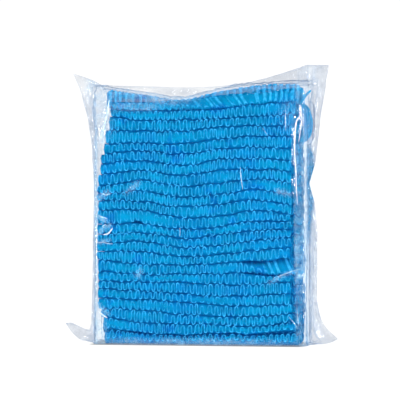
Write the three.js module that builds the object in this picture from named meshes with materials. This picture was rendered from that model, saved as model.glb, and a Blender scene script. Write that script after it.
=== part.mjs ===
// A clear film bag packed tight with a hundred pleated disposable caps. Each cap is folded flat and
// crimped into a narrow band, and the bands lie in four columns, with a few on edge on top.
// Millimetres, +Z up, +X to the bag's right, the front facing -Y, the floor at Z = 0.
import * as THREE from "three";

// Folded caps
const CAP_LENGTH = 214;
const CAP_DEPTH = 16;
const CAP_THICKNESS = 10.4;
const ROWS = 24;
const COLUMNS = 4;
const TOUCH_GAP = 0.35;
const FIRST_LINE = 1.4;
const BACK_ROWS_TOP = 250.6;
const BACK_SWAY = 1.6;
const PLEAT_GROUPS = 10;
const PLEAT_RISE = 1;
const END_ROUND = 3;
const ROWS_IN_BLOCK = 6;

// Film bag
const FILM = 1;
const SEAM_GAP = 0.3;
const UPRIGHT_SHARE = 0.5;
const TOP_CLEARANCE = FILM + 0.5;

const STACK_DEPTH = COLUMNS * CAP_DEPTH + (COLUMNS - 1) * TOUCH_GAP;
const STACK_FRONT = -STACK_DEPTH / 2;
const COLUMN_PITCH = CAP_DEPTH + TOUCH_GAP;
const BAG_FACE = STACK_DEPTH / 2 + TOUCH_GAP + FILM;

// Where the heights in the tables below are taken, across the front of the stack.
const STATIONS = { left: -95, midLeft: -57, nearLeft: -19, nearRight: 19, midRight: 57, right: 95 };

// The line between each two rows of the front column, bottom to top.
const FRONT_LINES = [
  { left: 16, midLeft: 13, nearLeft: 11, nearRight: 13, midRight: 12, right: 14 },
  { left: 28, midLeft: 23, nearLeft: 22, nearRight: 22, midRight: 21, right: 25 },
  { left: 37, midLeft: 36, nearLeft: 32, nearRight: 31, midRight: 30, right: 34 },
  { left: 48, midLeft: 47, nearLeft: 44, nearRight: 42, midRight: 41, right: 44 },
  { left: 58, midLeft: 56, nearLeft: 53, nearRight: 52, midRight: 52, right: 55 },
  { left: 66, midLeft: 65, nearLeft: 65, nearRight: 63, midRight: 64, right: 66 },
  { left: 76, midLeft: 73, nearLeft: 74, nearRight: 74, midRight: 76, right: 79 },
  { left: 88, midLeft: 84, nearLeft: 83, nearRight: 85, midRight: 87, right: 91 },
  { left: 97, midLeft: 97, nearLeft: 92, nearRight: 94, midRight: 98, right: 102 },
  { left: 107, midLeft: 107, nearLeft: 101, nearRight: 104, midRight: 109, right: 112 },
  { left: 116, midLeft: 116, nearLeft: 111, nearRight: 114, midRight: 119, right: 120 },
  { left: 126, midLeft: 126, nearLeft: 120, nearRight: 123, midRight: 129, right: 128 },
  { left: 140, midLeft: 140, nearLeft: 132, nearRight: 134, midRight: 139, right: 136 },
  { left: 150, midLeft: 149, nearLeft: 144, nearRight: 146, midRight: 151, right: 146 },
  { left: 158, midLeft: 160, nearLeft: 154, nearRight: 156, midRight: 161, right: 157 },
  { left: 167, midLeft: 171, nearLeft: 165, nearRight: 168, midRight: 172, right: 168 },
  { left: 178, midLeft: 181, nearLeft: 176, nearRight: 181, midRight: 182, right: 180 },
  { left: 190, midLeft: 192, nearLeft: 186, nearRight: 192, midRight: 193, right: 191 },
  { left: 199, midLeft: 202, nearLeft: 198, nearRight: 203, midRight: 205, right: 204 },
  { left: 210, midLeft: 210, nearLeft: 209, nearRight: 214, midRight: 216, right: 215 },
  { left: 224, midLeft: 223, nearLeft: 222, nearRight: 226, midRight: 227, right: 227 },
  { left: 238, midLeft: 234, nearLeft: 234, nearRight: 235, midRight: 237, right: 239 },
  { left: 246, midLeft: 244, nearLeft: 243, nearRight: 243, midRight: 247, right: 249 },
];

// The top front cap turns from lying flat at the left to tipped forward at the right.
const TURNED_CAP_TOP = {
  left: 253, midLeft: 252, nearLeft: 254, nearRight: 258, midRight: 261.5, right: 263.5,
};

// The caps that stand on their edges on top of the rows, and the top weld of the bag.
const STANDING_CAPS_TOP = {
  left: 268.5, midLeft: 263, nearLeft: 257.5, nearRight: 266, midRight: 271, right: 272.5,
};
const TOP_SEAM = {
  left: 273.5, midLeft: 272, nearLeft: 270.5, nearRight: 271.5, midRight: 276.5, right: 288,
};
const STANDING_CAPS = 4;
const STANDING_FRONT = -16;
const STANDING_PITCH = CAP_THICKNESS + 0.6;

// Rows of the film wall, bottom weld to top weld: how far out of the weld's plane it stands (0 to 1),
// its height on the face, where the side welds run, and how sharply the row bends up to them. The
// first and last rows end in the ears.
const WALL_ROWS = [
  { out: 0, height: 0, leftX: -148, leftZ: 20, rightX: 142, rightZ: 6, bend: 4 },
  { out: 0.46, height: 0, leftX: -141, leftZ: 20.5, rightX: 138, rightZ: 10, bend: 2.5 },
  { out: 0.97, height: 0, leftX: -130, leftZ: 15.5, rightX: 132, rightZ: 15, bend: 1.5 },
  { out: 1, height: 1.2, leftX: -122, leftZ: 11.5, rightX: 126, rightZ: 22, bend: 1.5 },
  { out: 1, height: 9, leftX: -120, leftZ: 21, rightX: 122.5, rightZ: 35, bend: 1.5 },
  { out: 1, height: 42, leftX: -120, leftZ: 44, rightX: 120.5, rightZ: 48, bend: 1 },
  { out: 1, height: 82, leftX: -120, leftZ: 82, rightX: 120.5, rightZ: 82, bend: 1 },
  { out: 1, height: 118, leftX: -119, leftZ: 118, rightX: 121, rightZ: 118, bend: 1 },
  { out: 1, height: 148, leftX: -119, leftZ: 148, rightX: 118, rightZ: 148, bend: 1 },
  { out: 1, height: 168, leftX: -118, leftZ: 168, rightX: 112.5, rightZ: 168, bend: 1 },
  { out: 1, height: 190, leftX: -119.5, leftZ: 190, rightX: 119, rightZ: 190, bend: 1 },
  { out: 1, height: 216, leftX: -120.5, leftZ: 216, rightX: 122, rightZ: 216, bend: 1 },
  { out: 1, height: 236, leftX: -123.5, leftZ: 238, rightX: 124.5, rightZ: 238, bend: 1 },
];

// Above them the wall follows the caps: a height over the top of the caps at each row instead.
const SHOULDER_ROWS = [
  { out: 1, over: -8, follows: "edge", leftX: -126.5, leftZ: 250, rightX: 126.5, rightZ: 250, bend: 1 },
  { out: 1, over: -1.4, follows: "edge", leftX: -129, leftZ: 258, rightX: 128, rightZ: 259, bend: 1 },
  { out: 0.95, over: 0, follows: "edge", leftX: -131, leftZ: 264, rightX: 129.5, rightZ: 267, bend: 1 },
  { out: 0.54, over: 0, follows: "crown", leftX: -133.5, leftZ: 271, rightX: 130, rightZ: 275, bend: 1 },
  { out: 0.06, over: 1, follows: "crown", leftX: -136.5, leftZ: 279, rightX: 131.5, rightZ: 283, bend: 1 },
  { out: 0, over: 0, follows: "seam", leftX: -139.5, leftZ: 286.5, rightX: 133, rightZ: 291.5, bend: 0.7 },
];

// Stations of the film wall from the side weld to the middle: how far it stands out, its place on the
// face, and how much of the way to the side weld it goes.
const WALL_COLUMNS = [
  { out: 0, across: 110, toSeam: 1 },
  { out: 0.015, across: 110, toSeam: 0.82 },
  { out: 0.09, across: 110, toSeam: 0.6 },
  { out: 0.3, across: 110, toSeam: 0.33 },
  { out: 0.62, across: 110, toSeam: 0.12 },
  { out: 0.9, across: 109.8, toSeam: 0.02 },
  { out: 0.99, across: 108.4, toSeam: 0 },
  { out: 1, across: 104, toSeam: 0 },
  { out: 1, across: 97, toSeam: 0 },
  { out: 1, across: 84, toSeam: 0 },
  { out: 1, across: 67, toSeam: 0 },
  { out: 1, across: 50, toSeam: 0 },
  { out: 1, across: 33, toSeam: 0 },
  { out: 1, across: 16.5, toSeam: 0 },
];

const CAP_MATERIAL = new THREE.MeshStandardMaterial({ color: 0x1a93d2, roughness: 0.9, metalness: 0 });
const FILM_MATERIAL = new THREE.MeshStandardMaterial({ color: 0xe8edf3, roughness: 0.15, metalness: 0 });

// A smooth curve of height across the bag through the values of one table row.
function curveThrough(row) {
  const names = Object.keys(STATIONS);
  const places = names.map((name) => STATIONS[name]);
  const values = names.map((name) => row[name]);
  const curve = new THREE.CubicInterpolant(places, values, 1, new Float32Array(1));
  return (x) => curve.evaluate(x)[0];
}

// Line number n of the front column, where 0 is the floor of the bag.
function frontLine(n) {
  return n === 0 ? () => FIRST_LINE : curveThrough(FRONT_LINES[n - 1]);
}

// Line number n of the other columns: an even pitch with a gentle sway that dies out at both ends.
function evenLine(n) {
  const level = FIRST_LINE + (n * (BACK_ROWS_TOP - FIRST_LINE)) / ROWS;
  const share = Math.sin((Math.PI * n) / ROWS);
  return (x) => level + BACK_SWAY * share * Math.sin((Math.PI * x) / STATIONS.midRight);
}

// Crests and valleys of the pleats between the two rounded ends of a cap.
function pleatPlaces() {
  const count = 2 * PLEAT_GROUPS;
  const places = [];
  for (let i = 0; i <= count; i += 1) {
    places.push({ x: (i / count - 0.5) * (CAP_LENGTH - 2 * END_ROUND), dip: i % 2 ? 0 : PLEAT_RISE });
  }
  return places;
}

// The rounded ends of the rows that lie between neighbouring lines, from the lowest to the highest.
function rowEnds(side, lines) {
  const x = (side * CAP_LENGTH) / 2;
  const points = [];
  for (let row = 0; row + 1 < lines.length; row += 1) {
    if (row > 0) {
      points.push(new THREE.Vector2(x - side * END_ROUND, lines[row](x)));
    }
    points.push(new THREE.Vector2(x, lines[row](x) + END_ROUND));
    points.push(new THREE.Vector2(x, lines[row + 1](x) - END_ROUND));
  }
  return points;
}

// The front outline of one cap, or of a block of rows, between its lowest and its highest line.
function rowsOutline(lines) {
  const lowest = lines[0];
  const highest = lines[lines.length - 1];
  const slack = TOUCH_GAP / 2;
  const under = pleatPlaces().map(({ x, dip }) => new THREE.Vector2(x, lowest(x) + slack + dip));
  const over = pleatPlaces().map(({ x, dip }) => new THREE.Vector2(x, highest(x) - slack - dip));
  const rightEnd = rowEnds(1, lines);
  const leftEnd = rowEnds(-1, lines);
  return new THREE.Shape([...under, ...rightEnd, ...over.reverse(), ...leftEnd.reverse()]);
}

// Rows of caps with their front face in the XZ plane at `front`, running back by `depth`.
function lyingRows(name, lines, front, depth) {
  const geometry = new THREE.ExtrudeGeometry(rowsOutline(lines), { depth, bevelEnabled: false });
  geometry.rotateX(Math.PI / 2);
  const mesh = new THREE.Mesh(geometry, CAP_MATERIAL);
  mesh.name = name;
  mesh.position.y = front + depth;
  return mesh;
}

// A closed body through rings of points that follow each other along +X.
function loft(rings) {
  const size = rings[0].length;
  const index = [];
  for (let r = 0; r + 1 < rings.length; r += 1) {
    for (let i = 0; i < size; i += 1) {
      const a = r * size + i;
      const b = r * size + ((i + 1) % size);
      index.push(a, b + size, b, a, a + size, b + size);
    }
  }
  const last = (rings.length - 1) * size;
  for (let i = 1; i + 1 < size; i += 1) {
    index.push(0, i, i + 1, last, last + i + 1, last + i);
  }
  const geometry = new THREE.BufferGeometry().setFromPoints(rings.flat());
  geometry.setIndex(index);
  geometry.computeVertexNormals();
  return geometry;
}

// One cross-section of a cap at x, with its edges cut back by `round`.
function capRing(x, front, back, bottom, top, round) {
  return [
    new THREE.Vector3(x, back - round, bottom),
    new THREE.Vector3(x, front + round, bottom),
    new THREE.Vector3(x, front, bottom + round),
    new THREE.Vector3(x, front, top - round),
    new THREE.Vector3(x, front + round, top),
    new THREE.Vector3(x, back - round, top),
    new THREE.Vector3(x, back, top - round),
    new THREE.Vector3(x, back, bottom + round),
  ];
}

// A cap whose height changes along its length. Its ends are drawn in by END_ROUND.
function shapedCap(name, front, depth, bottomAt, topAt) {
  const half = CAP_LENGTH / 2;
  const ends = [{ x: -half, dip: END_ROUND }, { x: half, dip: END_ROUND }];
  const places = [ends[0], ...pleatPlaces(), ends[1]];
  const rings = places.map(({ x, dip }) => {
    const inset = dip / 2;
    const slack = TOUCH_GAP / 2 + inset;
    const back = front + depth - inset;
    return capRing(x, front + inset, back, bottomAt(x) + slack, topAt(x) - inset, PLEAT_RISE);
  });
  const mesh = new THREE.Mesh(loft(rings), CAP_MATERIAL);
  mesh.name = name;
  return mesh;
}

function frontColumn() {
  const column = new THREE.Group();
  for (let row = 1; row < ROWS; row += 1) {
    const name = `cap_front_${String(row).padStart(2, "0")}`;
    column.add(lyingRows(name, [frontLine(row - 1), frontLine(row)], STACK_FRONT, CAP_DEPTH));
  }
  const top = curveThrough(TURNED_CAP_TOP);
  column.add(shapedCap(`cap_front_${ROWS}`, STACK_FRONT, CAP_DEPTH, frontLine(ROWS - 1), top));
  return column;
}

function backColumn() {
  const column = new THREE.Group();
  const front = STACK_FRONT + (COLUMNS - 1) * COLUMN_PITCH;
  for (let row = 1; row <= ROWS; row += 1) {
    const name = `cap_back_${String(row).padStart(2, "0")}`;
    column.add(lyingRows(name, [evenLine(row - 1), evenLine(row)], front, CAP_DEPTH));
  }
  return column;
}

// The two columns between front and back, a block of rows in each solid.
function innerColumns() {
  const columns = new THREE.Group();
  const depth = (COLUMNS - 2) * COLUMN_PITCH - TOUCH_GAP;
  for (let block = 0; block * ROWS_IN_BLOCK < ROWS; block += 1) {
    const lines = [];
    for (let row = 0; row <= ROWS_IN_BLOCK; row += 1) {
      lines.push(evenLine(block * ROWS_IN_BLOCK + row));
    }
    const front = STACK_FRONT + COLUMN_PITCH;
    columns.add(lyingRows(`inner_caps_${block + 1}`, lines, front, depth));
  }
  return columns;
}

function standingCaps() {
  const caps = new THREE.Group();
  const top = curveThrough(STANDING_CAPS_TOP);
  const bottom = () => BACK_ROWS_TOP;
  for (let i = 0; i < STANDING_CAPS; i += 1) {
    const front = STANDING_FRONT + i * STANDING_PITCH;
    caps.add(shapedCap(`cap_top_${i + 1}`, front, CAP_THICKNESS, bottom, top));
  }
  return caps;
}

// All stations across the film wall, left weld to right weld.
function wallStations() {
  const left = WALL_COLUMNS.map((column) => ({ ...column, side: -1 }));
  const right = WALL_COLUMNS.map((column) => ({ ...column, side: 1 })).reverse();
  return [...left, { out: 1, across: 0, toSeam: 0, side: 1 }, ...right];
}

// All rows of the film wall, each with its height on the face as a function of x. On the front the
// wall's edge follows the turned cap, and on the back the standing caps.
function wallRows(side) {
  const crown = curveThrough(STANDING_CAPS_TOP);
  const edge = side < 0 ? curveThrough(TURNED_CAP_TOP) : crown;
  const lines = {
    crown: (x) => crown(x) + TOP_CLEARANCE,
    edge: (x) => edge(x) + TOP_CLEARANCE,
    seam: curveThrough(TOP_SEAM),
  };
  const lower = WALL_ROWS.map((row) => ({ ...row, heightAt: () => row.height }));
  const upper = SHOULDER_ROWS.map((row) => ({
    ...row,
    heightAt: (x) => lines[row.follows](x) + row.over,
  }));
  return [...lower, ...upper];
}

// A point on the outside of the film wall, before it is mirrored to its side of the weld's plane.
function wallPoint(row, column) {
  const faceX = column.side * column.across;
  const seamX = column.side < 0 ? row.leftX : row.rightX;
  const seamZ = column.side < 0 ? row.leftZ : row.rightZ;
  const x = THREE.MathUtils.lerp(faceX, seamX, column.toSeam);
  const z = THREE.MathUtils.lerp(row.heightAt(faceX), seamZ, column.toSeam ** row.bend);
  const weld = SEAM_GAP / 2 + FILM;
  const y = weld + (BAG_FACE - weld) * row.out * column.out;
  return new THREE.Vector3(x, y, z);
}

// One half of the bag: side is -1 for the front and 1 for the back.
function filmPanel(name, side) {
  const rows = wallRows(side);
  const columns = wallStations();
  const wide = columns.length;
  const tall = rows.length;
  const outer = rows.flatMap((row) => columns.map((column) => wallPoint(row, column)));
  outer.forEach((point) => point.setY(point.y * side));

  const faces = [];
  for (let r = 0; r + 1 < tall; r += 1) {
    for (let c = 0; c + 1 < wide; c += 1) {
      const a = r * wide + c;
      const quad = [a, a + 1, a + wide + 1, a, a + wide + 1, a + wide];
      faces.push(...(side < 0 ? quad : quad.reverse()));
    }
  }
  const skin = new THREE.BufferGeometry().setFromPoints(outer);
  skin.setIndex(faces);
  skin.computeVertexNormals();
  const normals = skin.getAttribute("normal");

  // The weld's rim is square to its plane, and under the bag the two halves meet edge to edge.
  const inner = outer.map((point, i) => {
    const r = Math.floor(i / wide);
    const column = columns[i % wide];
    const onWeld = r === 0 || r === tall - 1 || column.toSeam === 1;
    if (!onWeld) {
      const normal = new THREE.Vector3().fromBufferAttribute(normals, i);
      return point.clone().addScaledVector(normal, -FILM);
    }
    const upright = r === 0 ? Math.min(1, column.toSeam / UPRIGHT_SHARE) : 1;
    point.setY(side * (SEAM_GAP / 2 + FILM * upright));
    return new THREE.Vector3(point.x, (side * SEAM_GAP) / 2, point.z + FILM * (1 - upright));
  });

  const count = outer.length;
  const inside = [];
  for (let i = 0; i < faces.length; i += 3) {
    inside.push(count + faces[i], count + faces[i + 2], count + faces[i + 1]);
  }
  const rim = rimLoop(wide, tall);
  const edge = [];
  rim.forEach((a, i) => {
    const b = rim[(i + 1) % rim.length];
    const quad = [a, a + count, b + count, a, b + count, b];
    edge.push(...(side < 0 ? quad : quad.reverse()));
  });

  const geometry = new THREE.BufferGeometry().setFromPoints([...outer, ...inner]);
  geometry.setIndex([...faces, ...inside, ...edge]);
  geometry.computeVertexNormals();
  const mesh = new THREE.Mesh(geometry, FILM_MATERIAL);
  mesh.name = name;
  return mesh;
}

// The border of a grid as one loop of vertex numbers.
function rimLoop(wide, tall) {
  const loop = [];
  for (let c = 0; c < wide - 1; c += 1) {
    loop.push(c);
  }
  for (let r = 0; r < tall - 1; r += 1) {
    loop.push(r * wide + wide - 1);
  }
  for (let c = wide - 1; c > 0; c -= 1) {
    loop.push((tall - 1) * wide + c);
  }
  for (let r = tall - 1; r > 0; r -= 1) {
    loop.push(r * wide);
  }
  return loop;
}

// The bag stands centred over the origin, ear tip to ear tip.
const bag = new THREE.Group();
bag.add(filmPanel("bag_front_film", -1));
bag.add(filmPanel("bag_back_film", 1));
bag.add(frontColumn(), backColumn(), innerColumns(), standingCaps());
bag.position.x = -(WALL_ROWS[0].leftX + WALL_ROWS[0].rightX) / 2;
bag.updateMatrixWorld(true);

export default bag;
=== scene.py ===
"""A clear film bag packed tight with pleated disposable caps, each folded flat and crimped into a band.

Metres, +Z up, the bag's front facing -Y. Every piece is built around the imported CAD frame. The tables
are in millimetres.
"""

import copy
import functools
import math

import bpy
import numpy as np
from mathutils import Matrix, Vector


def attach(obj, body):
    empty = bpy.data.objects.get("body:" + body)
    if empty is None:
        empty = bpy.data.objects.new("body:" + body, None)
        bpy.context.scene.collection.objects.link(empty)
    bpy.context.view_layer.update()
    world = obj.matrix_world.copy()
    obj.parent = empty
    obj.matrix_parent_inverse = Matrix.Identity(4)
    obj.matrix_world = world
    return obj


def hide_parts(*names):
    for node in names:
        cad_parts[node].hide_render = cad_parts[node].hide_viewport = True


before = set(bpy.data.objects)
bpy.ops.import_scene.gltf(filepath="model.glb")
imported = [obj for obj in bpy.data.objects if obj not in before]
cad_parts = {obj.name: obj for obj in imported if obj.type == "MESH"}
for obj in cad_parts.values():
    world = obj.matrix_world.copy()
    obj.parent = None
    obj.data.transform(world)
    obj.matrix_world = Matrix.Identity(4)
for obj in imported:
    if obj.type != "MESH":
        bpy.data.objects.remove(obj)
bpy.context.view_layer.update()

MM = 0.001
SEED = 41

# Camera
CAMERA_AZIMUTH = math.radians(8.0)
CAMERA_RISE = math.radians(-1.0)
CAMERA_DISTANCE = 1.5
CAMERA_AIM = Vector((0.0047, -0.033, 0.1505))
CAMERA_LENS = 130.6

# Lamps, in metres and watts: name, place, width, height, power and the rays that don't see it.
LAMP_AIM = Vector((0, 0, 0.14))
LAMPS = [
    ("key", (-0.9, -1.5, 1.3), 0.6, 0.6, 15.5, None),
    ("right_side", (1.35, -0.80, 0.45), 0.16, 1.1, 16.4, "glossy"),
    ("left_side", (-1.5, -0.75, 0.5), 0.16, 1.1, 10, "glossy"),
    ("right_gleam", (1.3, -0.95, 0.35), 0.45, 1.1, 170, "diffuse"),
    ("left_gleam", (-1.35, -0.8, 0.4), 0.45, 1.1, 80, "diffuse"),
    ("top", (0.2, -0.1, 1.7), 1.2, 1.0, 12, "glossy"),
    ("back", (0.9, 1.6, 1.2), 0.6, 0.6, 14, "glossy"),
]
FLOOR_SIZE = 6.0

# Folded caps
ROWS = range(1, 25)
DETAILED_ROWS = (1, 8, 24)
PLEAT_PITCH = 6.3 * MM
BAND_THICKNESS = 1.1 * MM
BAND_TALL = 9 * MM
BAND_WIDE = 16 * MM
ROWS_IN_BLOCK = 6
COLUMN_GAP = 0.1 * MM
SIDE_ROUND = 0.9 * MM
TOUCH = 0.28 * MM
# How far a crest rises past its row where it faces another crest, and where it faces a gap.
REACH = (-0.35, 0.85)

# Where the front rows end, and the rows behind them: height, left end, right end.
FRONT_ENDS = [
    (0, -97.5, 108), (14, -99, 107), (22, -100, 101.5), (33, -104.5, 101), (60, -106, 101),
    (150, -106, 100.5), (170, -105.5, 100.5), (187, -103.5, 101), (202, -101, 101.5), (223, -96, 103),
    (243, -90.5, 107),
]
INNER_ENDS = [
    (0, -100, 109.5), (20, -103, 111), (60, -104.5, 111), (95, -104.5, 111), (125, -104.5, 111.2),
    (152, -104.5, 110.6), (166, -104.5, 110), (190, -103, 110.8), (215, -98, 110.5), (250, -95, 108.5),
]
STANDING_LEFT = (-98.5, -99, -101, -102)
# The standing caps' upper corners: from where, to where, and how far they sink.
CORNERS = ((101, 111, -4.5), (-92, -101, -3.5))
# Lines of the front rows that leave the CAD's: row, its low or high line, from where, to where, how far.
BENT_LINES = [
    (1, "low", -120, -119, -1.6), (7, "high", 44, 76, -5.2), (8, "low", 44, 76, -6.6),
    (23, "high", -40, 10, 2.0),
]
# Two ends of a cap that stick out at the upper right, as points along them.
HANGING_END = [(109.5, -13, 251), (113, -12, 242), (114.8, -11, 231), (113.6, -11, 220), (109.5, -12, 210)]
UPRIGHT_END = [(107.5, -17, 250), (110.5, -16, 255.5), (114.3, -15, 260.5), (118, -14, 264.5)]


def add_object(name, data):
    thing = bpy.data.objects.new(name, data)
    bpy.context.scene.collection.objects.link(thing)
    return thing


def make_camera():
    data = bpy.data.cameras.new("camera")
    data.lens = CAMERA_LENS
    camera = add_object("camera", data)
    level = math.cos(CAMERA_RISE)
    level_back = (math.sin(CAMERA_AZIMUTH) * level, -math.cos(CAMERA_AZIMUTH) * level)
    back = Vector((*level_back, math.sin(CAMERA_RISE)))
    camera.location = CAMERA_AIM + back * CAMERA_DISTANCE
    camera.rotation_euler = (-back).to_track_quat("-Z", "Y").to_euler()
    bpy.context.scene.camera = camera


# ---- node helpers


def node_maker(tree):
    """A function that adds a node to an emptied tree and gives one of its outputs."""
    tree.nodes.clear()

    def make(kind, inputs=(), output=0, **settings):
        """Makes the settings, and sets or links the inputs, by name or number."""
        node = tree.nodes.new(f"ShaderNode{kind}")
        for key, value in settings.items():
            setattr(node, key, value)
        for key, value in dict(inputs).items():
            if isinstance(value, bpy.types.NodeSocket):
                tree.links.new(value, node.inputs[key])
            else:
                node.inputs[key].default_value = value
        return node.outputs[output] if node.outputs else None

    return make


def noise(make, place, scale, detail=2.0, rough=0.5):
    inputs = {"Vector": place, "Scale": scale, "Detail": detail, "Roughness": rough}
    return make("TexNoise", inputs, "Fac")


def spread(make, value, low, high, to_low=0.0, to_high=1.0):
    inputs = {"Value": value, "From Min": low, "From Max": high, "To Min": to_low, "To Max": to_high}
    return make("MapRange", inputs, clamp=True)


def mix_colour(make, factor, first, second, blend="MIX"):
    return make("Mix", {0: factor, 6: first, 7: second}, 2, data_type="RGBA", blend_type=blend)


def mix_shader(make, factor, first, second):
    return make("MixShader", {0: factor, 1: first, 2: second})


def maths(make, operation, first, second):
    return make("Math", {0: first, 1: second}, operation=operation)


def attribute(make, name):
    return make("Attribute", output="Fac", attribute_name=name)


def bump(make, height, strength, distance):
    return make("Bump", {"Strength": strength, "Distance": distance, "Height": height})


def rgb(red, green, blue):
    return (red, green, blue, 1.0)


def grey(value):
    return rgb(value, value, value)


def make_material(name, surface):
    material = bpy.data.materials.new(name)
    material.use_nodes = True
    make = node_maker(material.node_tree)
    make("OutputMaterial", {"Surface": surface(make, make("TexCoord", output="Object"))})
    return material


# ---- materials


def cloth_colour(make, place):
    """Mid blue in soft patches; paler where an edge of the band shows, partly the cloth's fuzz and partly a
    painted highlight; and darkened in the clefts by painted shade.
    """
    # shade and light here are two blues of the cloth, mixed in wide random patches.
    shade, light, patched = rgb(0.0, 0.170, 0.400), rgb(0.0, 0.220, 0.400), rgb(0.0, 0.120, 0.400)
    pale_edge_fuzz_and_highlight, painted_cleft_shade = rgb(0.040, 0.450, 0.780), rgb(0.0, 0.100, 0.300)
    wide = spread(make, noise(make, place, 24.0), 0.30, 0.52)
    patch = spread(make, noise(make, place, 48.0, 1.0), 0.62, 0.72, 0.0, 0.7)
    body = mix_colour(make, patch, mix_colour(make, wide, shade, light), patched)
    tone = spread(make, noise(make, place, 120.0), 0.3, 0.7, 0.80, 1.06)
    toned = make("VectorMath", {0: body, "Scale": tone}, operation="SCALE")
    edge_mottle = spread(make, noise(make, place, 260.0), 0.35, 0.65, 0.25, 1.0)
    # Painted highlight, partly the cloth's fuzz: the pale edge colour where the edge attribute is set.
    pale = mix_colour(make, maths(make, "MULTIPLY", attribute(make, "edge"), edge_mottle), toned, pale_edge_fuzz_and_highlight)
    # Painted shade: darker blue in the clefts, where the deep attribute is set.
    return mix_colour(make, attribute(make, "deep"), pale, painted_cleft_shade)


def fabric(make, place):
    """Thin bonded fibre cloth, with a fine pattern of bond dots."""
    dots = make("TexVoronoi", {"Vector": place, "Scale": 700.0, "Randomness": 0.35}, feature="F1")
    fibre = noise(make, place, 2600.0, 3.0, 0.7)
    relief = maths(make, "ADD", spread(make, dots, 0.15, 0.45), maths(make, "MULTIPLY", fibre, 0.6))
    return make("BsdfPrincipled", {
        "Base Color": cloth_colour(make, place),
        "Roughness": spread(make, fibre, 0.3, 0.7, 0.68, 0.86),
        "Specular IOR Level": 0.01,
        # A painted glow over all the cloth, standing in for the light that comes through the thin layers, so
        # that the clefts stay blue.
        "Emission Color": rgb(0.0, 0.030, 0.115),
        "Emission Strength": 1.0,
        "Normal": bump(make, relief, 0.35, 0.12 * MM),
    })


def clear_film(make, veil, mirror):
    """See-through film, greyer where it is doubled, and bluer seen at a glancing angle, a painted
    reflection.
    """
    once, doubled, painted_aslant_reflection = rgb(0.997, 0.998, 0.999), rgb(0.888, 0.900, 0.920), rgb(0.900, 0.930, 0.965)
    tint = mix_colour(make, veil, once, doubled)
    tint = mix_colour(make, spread(make, mirror, 0.03, 0.25), tint, painted_aslant_reflection, "MULTIPLY")
    return make("BsdfTransparent", {"Color": tint})


def cloudy_and_painted_film(make, haze, sharp):
    """Crumpled film: pale blue over the caps and blue where the caps show in it, both painted light from the
    caps; grey beside them; and white in its sharp folds, a painted glint.
    """
    painted_light_over_caps, beside, painted_blue_on_caps, fold = (
        rgb(0.38, 0.68, 0.88), rgb(0.62, 0.67, 0.74), rgb(0.04, 0.27, 0.50), rgb(0.96, 0.98, 1.0))
    # Painted light from the caps: the whitening is pale blue over them, and blue where the deep attribute is
    # set.
    pale = mix_colour(make, haze, painted_light_over_caps, beside)
    pale = mix_colour(make, attribute(make, "deep"), pale, painted_blue_on_caps)
    # Painted glint: white along the sharp folds.
    pale = mix_colour(make, sharp, pale, fold)
    through, back = (make(kind, {"Color": pale}) for kind in ("BsdfTranslucent", "BsdfDiffuse"))
    return mix_shader(make, 0.8, through, back)


def film(make, place):
    """Clear polythene: see-through, glossy, and milky where it is crumpled, with painted glints and painted
    light from the caps in its milky parts.
    """
    grain = maths(make, "MULTIPLY", noise(make, place, 1500.0), 0.06)
    normal = bump(make, maths(make, "ADD", noise(make, place, 160.0), grain), 0.3, 0.5 * MM)
    mirror = make("Fresnel", {"IOR": 1.2, "Normal": normal})
    haze, frost = attribute(make, "haze"), attribute(make, "frost")
    veil = maths(make, "MULTIPLY", haze, spread(make, noise(make, place, 90.0, 3.0), 0.3, 0.7, 0.7, 1.3))

    # The sharp folds are painted white all along as glints, and the rest of the whitening lies in streaks.
    sharp = spread(make, frost, 0.75, 1.0)
    streak = spread(make, noise(make, place, 230.0, 3.0, 0.6), 0.34, 0.64, 0.25, 1.25)
    frost = maths(make, "MULTIPLY", frost, maths(make, "MAXIMUM", streak, sharp))
    # How much of the milky shader shows, with its painted glints and painted light from the caps.
    cloudy_and_painted = maths(make, "ADD", maths(make, "MULTIPLY", veil, 0.02), maths(make, "MULTIPLY", frost, 0.8))
    cloudy_and_painted = maths(make, "MINIMUM", cloudy_and_painted, 0.85)
    body = mix_shader(make, cloudy_and_painted, clear_film(make, veil, mirror), cloudy_and_painted_film(make, haze, sharp))

    gloss = make("BsdfGlossy", {"Color": grey(1), "Roughness": 0.09, "Normal": normal})
    amount = maths(make, "MINIMUM", mirror, 0.13)
    amount = maths(make, "MULTIPLY", amount, spread(make, haze, 0.1, 0.8, 1.0, 0.45))
    return mix_shader(make, amount, body, gloss)


def by_ray(make, others, mirrored, seen):
    """Chooses between what glossy film mirrors, what the camera sees and what other rays meet."""
    for test, shader in (("Is Glossy Ray", mirrored), ("Is Camera Ray", seen)):
        others = mix_shader(make, make("LightPath", output=test), others, shader)
    return others


def brighter_behind(make, place, low, high):
    """What glossy film mirrors: dim in front of the bag and bright behind it."""
    return spread(make, make("SeparateXYZ", {0: place}, "Y"), low, high, 0.05, 0.95)


def painted_contact_shadow(make, place, reach, near, far):
    """A strength that is `near` under the bag and `far` from `reach` beyond it on, for the floor's painted
    contact shadow.
    """
    size = make("VectorMath", {0: place}, operation="ABSOLUTE")
    bag = (107 * MM, 32 * MM, 0)
    past = make("VectorMath", {0: size, 1: bag}, operation="SUBTRACT")
    gap = maths(make, "MAXIMUM", *(make("SeparateXYZ", {0: past}, axis) for axis in "XY"))
    return spread(make, gap, 0.0, reach, near, far)


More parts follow.
